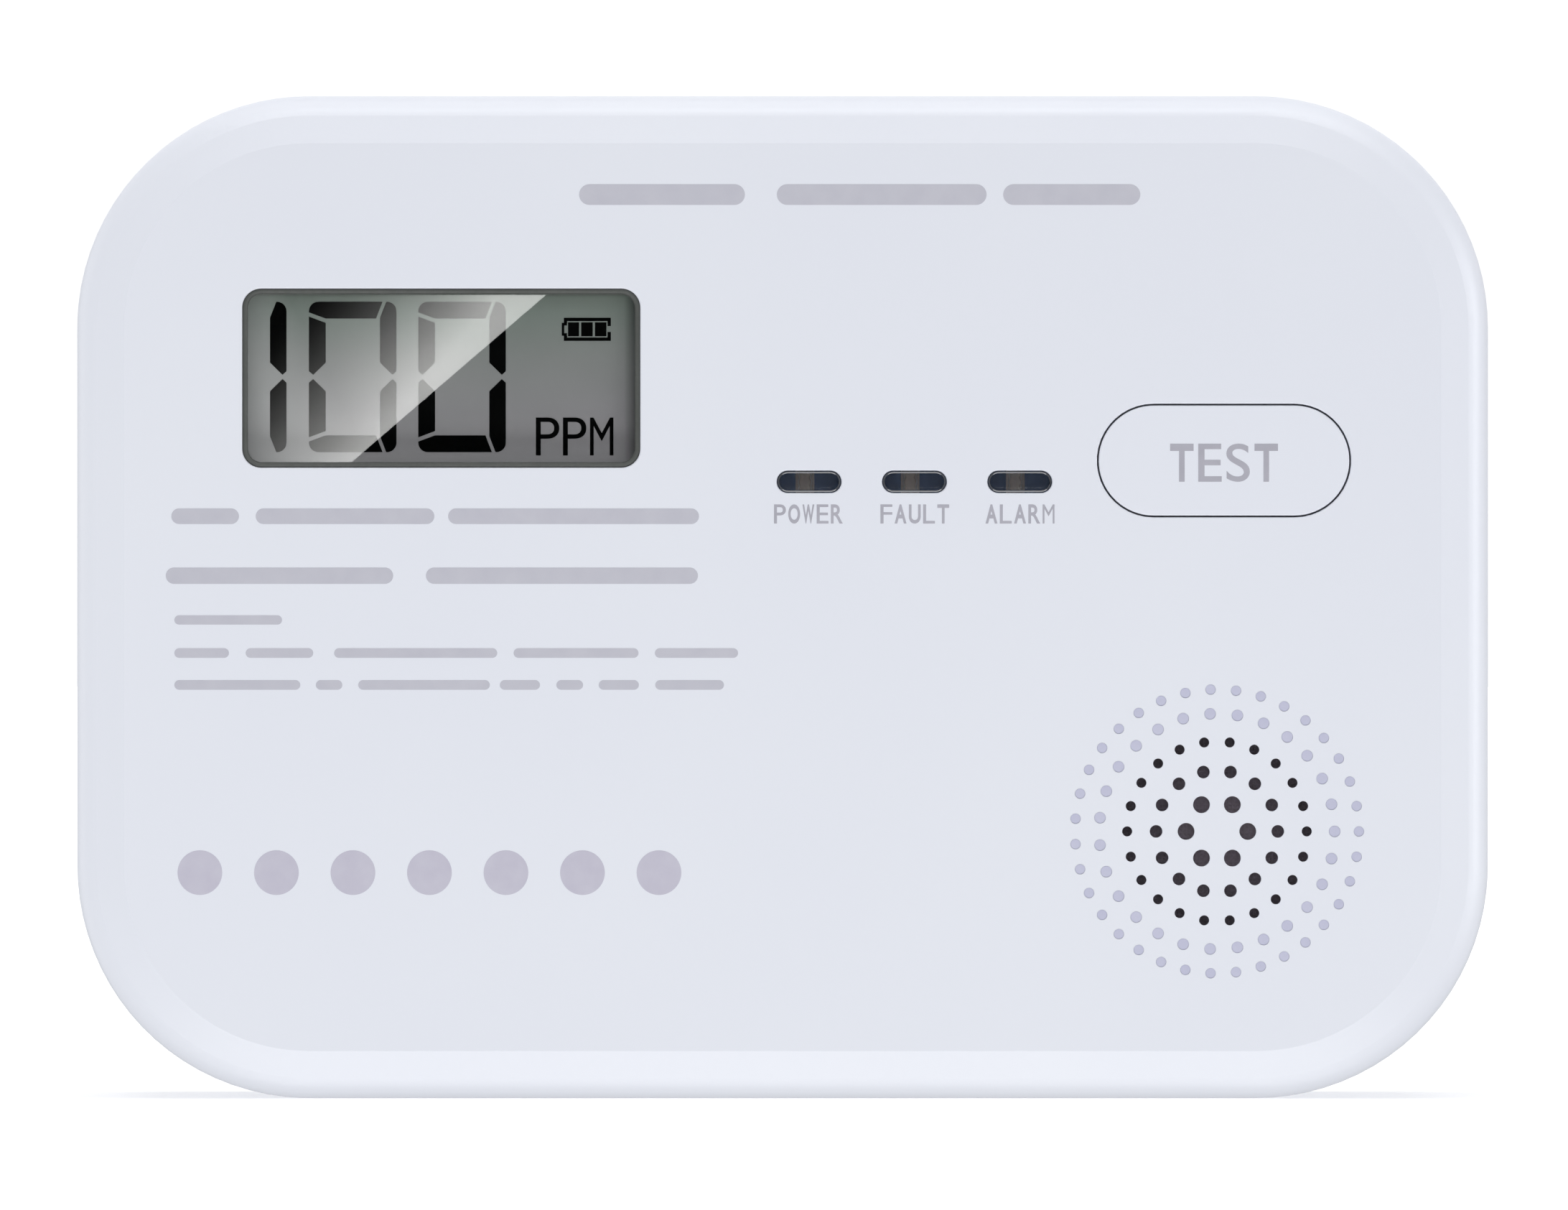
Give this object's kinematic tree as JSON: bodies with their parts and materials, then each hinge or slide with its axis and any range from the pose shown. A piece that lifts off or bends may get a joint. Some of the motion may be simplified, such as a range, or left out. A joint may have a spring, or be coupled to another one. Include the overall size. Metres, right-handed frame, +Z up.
{
  "type": "carbon monoxide detector",
  "caption": "Battery carbon monoxide alarm with a digital display, a test button, indicator lamps, a round sounder grille and a rear battery door.",
  "frame": {"origin": "middle of the flat rear face that lies on the wall", "axes": "+X to the right of a person who faces the alarm, +Z up, +Y into the wall, so the front looks along -Y"},
  "size_m": [0.12, 0.036, 0.0852],
  "materials": {
    "casing_white": "satin",
    "button_white": "satin",
    "window_clear": "clear",
    "holder_dark": "matt",
    "lcd_glass": "clear",
    "polariser_film": "satin",
    "reflector_film": "satin",
    "connector_rubber": "matt",
    "lens_smoke": "clear",
    "lamp_body": "satin",
    "black_plastic": "matt",
    "switch_steel": "satin",
    "stem_red": "matt",
    "board_green": "satin",
    "screw_steel": "satin",
    "chip_epoxy": "matt",
    "tinned_metal": "satin",
    "capacitor_can": "satin",
    "chip_ceramic": "matt",
    "ferrite": "matt",
    "copper_wire": "satin",
    "brass_plate": "satin",
    "piezo_ceramic": "satin",
    "foam_black": "matt",
    "gauze_grey": "matt",
    "cap_black": "matt",
    "sensor_steel": "satin",
    "filter_felt": "matt",
    "battery_sleeve": "satin",
    "nickel_strip": "satin",
    "spring_wire": "satin",
    "lead_red": "satin",
    "lead_black": "satin",
    "label_paper": "satin"
  },
  "bodies": {
    "casing": {"front_cover": "casing_white", "rear_housing": "casing_white", "case_screws": "screw_steel", "rating_label": "label_paper", "display_window": "window_clear", "display_holder": "holder_dark", "display_front_glass": "lcd_glass", "display_rear_glass": "lcd_glass", "display_polariser": "polariser_film", "display_reflector": "reflector_film", "display_connector": "connector_rubber", "power_lens": "lens_smoke", "fault_lens": "lens_smoke", "alarm_lens": "lens_smoke", "power_lamp": "lamp_body", "fault_lamp": "lamp_body", "alarm_lamp": "lamp_body", "lamp_baffle": "black_plastic", "switch_base": "black_plastic", "switch_cover": "switch_steel", "switch_dome": "switch_steel", "dust_gauze": "gauze_grey", "sounder_plate": "brass_plate", "sounder_ceramic": "piezo_ceramic", "sounder_foam": "foam_black", "sounder_cap": "cap_black", "main_board": "board_green", "board_screws": "screw_steel", "controller_chip": "chip_epoxy", "controller_pins": "tinned_metal", "small_chips": "chip_epoxy", "electrolytic_capacitors": "capacitor_can", "chip_resistors": "chip_ceramic", "sounder_coil_core": "ferrite", "sounder_coil_winding": "copper_wire", "sensor_socket": "black_plastic", "sensor_can": "sensor_steel", "sensor_filter": "filter_felt", "sensor_cap": "cap_black", "left_battery": "battery_sleeve", "right_battery": "battery_sleeve", "bridge_contact": "nickel_strip", "positive_contact": "nickel_strip", "negative_contact": "nickel_strip", "bridge_spring": "spring_wire", "negative_spring": "spring_wire", "battery_lead_positive": "lead_red", "battery_lead_negative": "lead_black", "sounder_lead_plate": "lead_black", "sounder_lead_ceramic": "lead_red"},
    "button": {"test_button": "button_white"},
    "stem": {"switch_stem": "stem_red"},
    "door": {"battery_door": "casing_white"}
  },
  "joints": [
    {"name": "button_press", "type": "slide", "parent": "casing", "child": "button", "axis": [0, 1, 0], "range_m": [0, 0.0005], "stiffness_N_per_m": 400, "springref_m": -0.0005},
    {"name": "stem_press", "type": "slide", "parent": "casing", "child": "stem", "axis": [0, 1, 0], "range_m": [0, 0.0005], "stiffness_N_per_m": 20, "springref_m": -0.0005},
    {"name": "door_hinge", "type": "hinge", "parent": "casing", "child": "door", "pos_m": [-0.028, -0.00125, -0.0326], "axis": [-1, 0, 0], "range_deg": [0, 90]}
  ],
  "couplings": [
    {"joint": "stem_press", "follows": "button_press", "ratio": 1}
  ]
}
